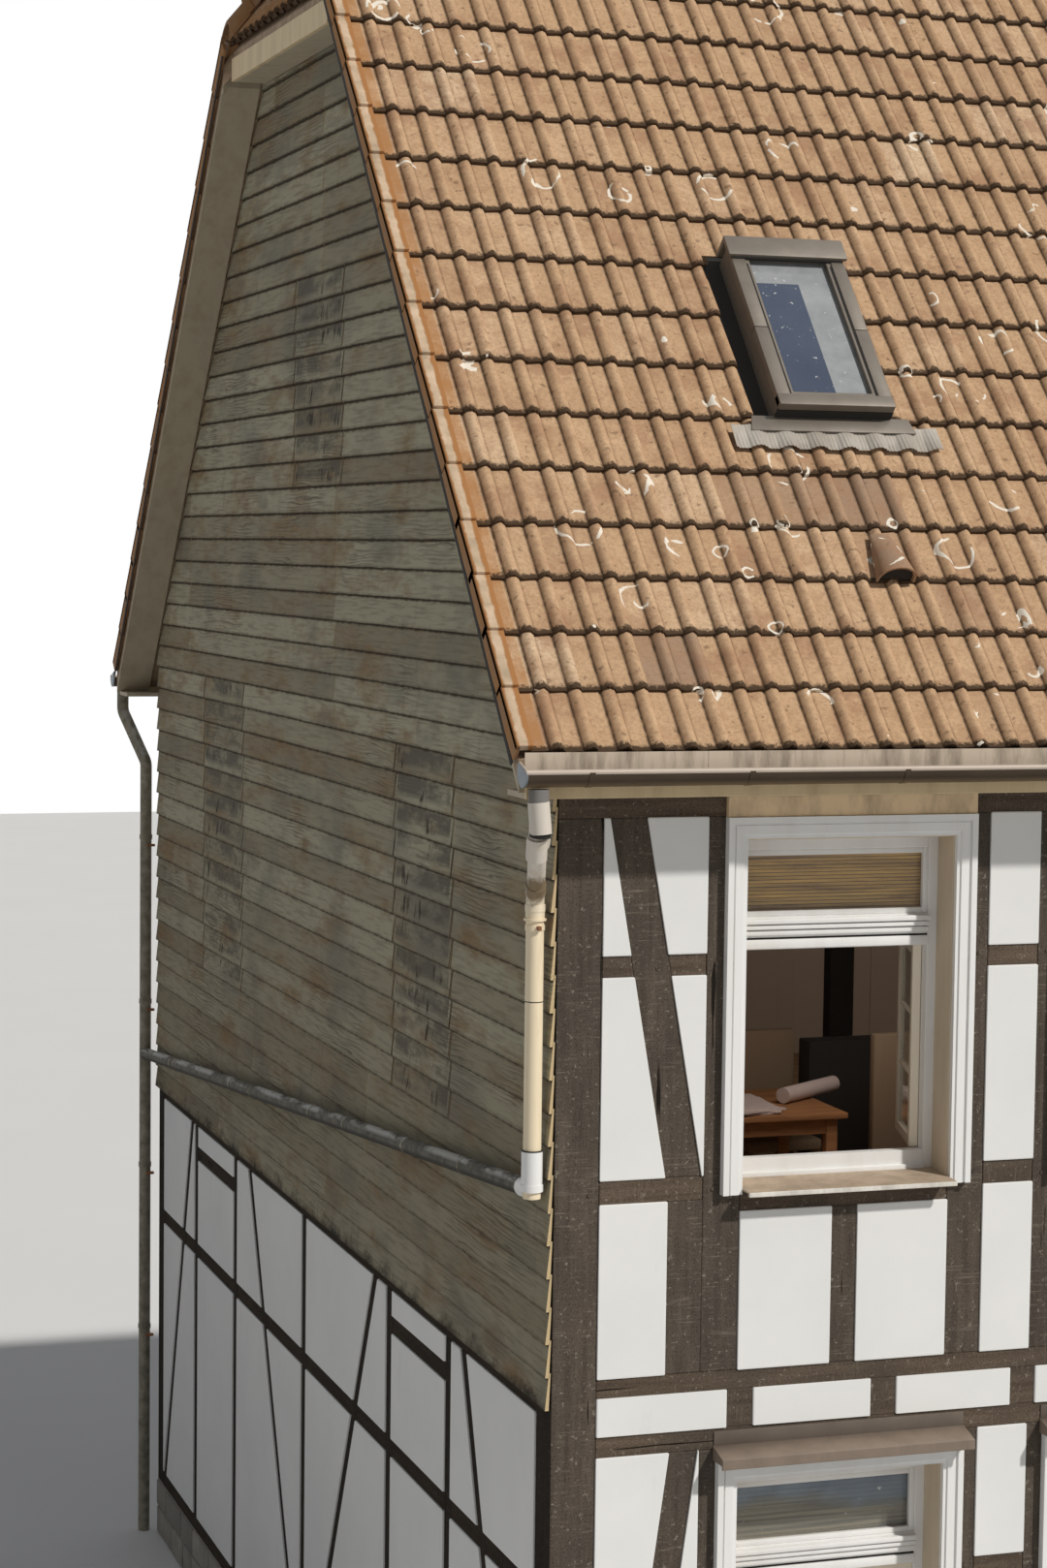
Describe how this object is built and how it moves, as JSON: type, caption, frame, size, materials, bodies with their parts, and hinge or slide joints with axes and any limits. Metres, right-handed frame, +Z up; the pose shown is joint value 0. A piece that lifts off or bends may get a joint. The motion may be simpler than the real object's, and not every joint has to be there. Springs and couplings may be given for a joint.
{
  "type": "half-timbered house",
  "caption": "Two-storey half-timbered house with boarded gables, a half-hipped tiled roof, a rooflight, casement windows, gutters and downpipes.",
  "frame": {"origin": "on the ground at the middle of the plan, on the underside of the ground slab", "axes": "+Z up; the front with the open window faces -Y; the gable with the sloping rain pipe faces -X"},
  "size_m": [9.39, 9.16, 10.8491],
  "materials": {
    "timber": "weathered dark stained oak",
    "plaster": "white limewashed render",
    "masonry": "rough",
    "floor_wood": "planed boards",
    "roof_wood": "sawn softwood",
    "tile": "weathered sand-faced",
    "siding": "weathered grained boards",
    "cream_board": "aged cream paint",
    "white_joinery": "white gloss paint",
    "glass": "clear",
    "zinc": "dull weathered zinc",
    "brown_metal": "matt brown coat",
    "pipe": "weathered grey-cream",
    "door_wood": "dark painted boards"
  },
  "bodies": {
    "root": {"attic_floor": "floor_wood", "back_deck": "roof_wood", "back_panels": "plaster", "back_tiles": "tile", "door": "door_wood", "door_steps": "masonry", "far_downpipe": "pipe", "fascias": "cream_board", "floor_joists": "timber", "frame_beams": "timber", "frame_braces": "timber", "frame_posts": "timber", "frame_rails": "timber", "front_deck": "roof_wood", "front_panels": "plaster", "front_tiles": "tile", "gable_panels": "plaster", "gable_plinths": "masonry", "gable_siding": "siding", "gable_walls": "plaster", "ground_floor": "masonry", "gutters": "zinc", "hip_caps": "tile", "hip_deck": "roof_wood", "hip_tiles": "tile", "link_pipe": "pipe", "long_plinths": "masonry", "near_downpipe": "pipe", "rafters": "roof_wood", "ridge_caps": "tile", "roof_beams": "timber", "rooflight_apron": "zinc", "rooflight_frame": "brown_metal", "rooflight_pane": "glass", "soffits": "cream_board", "upper_floor": "floor_wood", "vent_hood": "tile", "verge_boards": "cream_board", "verge_flanges": "tile", "window_casings": "white_joinery", "window_heads": "cream_board", "window_panes": "glass", "window_rails": "white_joinery", "window_sashes": "white_joinery", "window_sills": "cream_board", "window_stiles": "white_joinery"}
  },
  "joints": []
}
